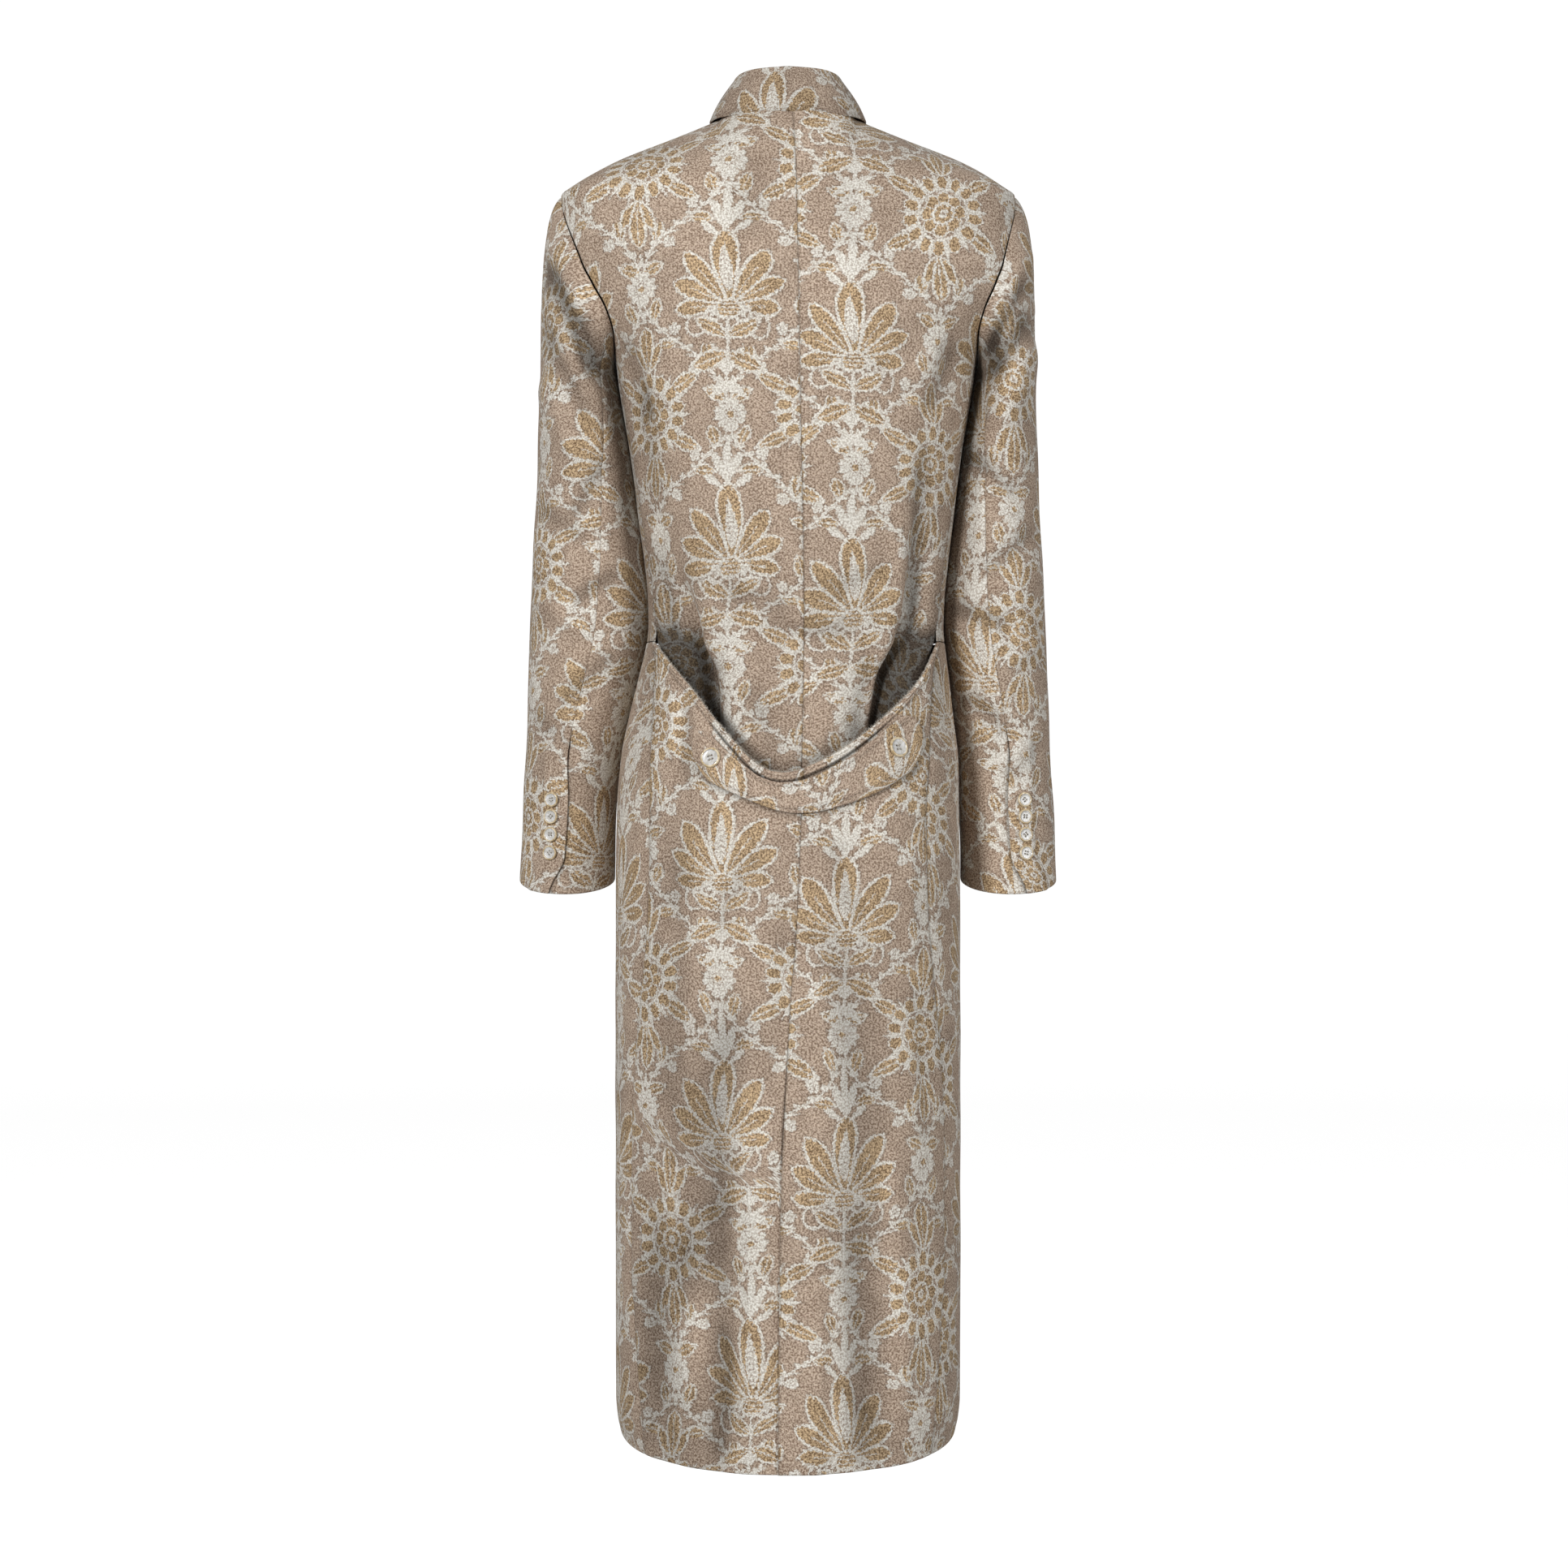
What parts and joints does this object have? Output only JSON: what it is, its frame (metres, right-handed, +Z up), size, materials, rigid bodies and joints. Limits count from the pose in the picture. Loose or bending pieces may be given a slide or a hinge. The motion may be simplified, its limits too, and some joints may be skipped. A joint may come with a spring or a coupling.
{
  "type": "tailored overcoat, filled out with no wearer",
  "caption": "Long fitted woven overcoat, hollow, with turn-down collar, two-piece sleeves, a draped half-belted back skirt and a vent.",
  "frame": {"origin": "middle of the neck opening, level with the top of the shoulders, where the wearer holds the coat up", "axes": "+Z up, the fronts face -Y and the back faces +Y, +X towards the wearer's left"},
  "size_m": [0.48, 0.3002, 1.2173],
  "materials": {
    "wool": "napped wool jacquard, taupe ground with cream and dull gold flower motifs",
    "pearl": "mother-of-pearl, polished"
  },
  "bodies": {
    "root": {"upper_back_left": "wool", "upper_back_right": "wool", "skirt_back_left": "wool", "skirt_back_right": "wool", "front_left": "wool", "front_right": "wool", "skirt_front_left": "wool", "skirt_front_right": "wool", "top_sleeve_left": "wool", "under_sleeve_left": "wool", "top_sleeve_right": "wool", "under_sleeve_right": "wool", "collar": "wool", "half_belt": "wool", "belt_button_left": "pearl", "belt_button_right": "pearl", "cuff_button_left_1": "pearl", "cuff_button_left_2": "pearl", "cuff_button_left_3": "pearl", "cuff_button_left_4": "pearl", "cuff_button_right_1": "pearl", "cuff_button_right_2": "pearl", "cuff_button_right_3": "pearl", "cuff_button_right_4": "pearl", "front_button_1": "pearl", "front_button_2": "pearl", "front_button_3": "pearl", "front_button_4": "pearl"}
  },
  "joints": []
}
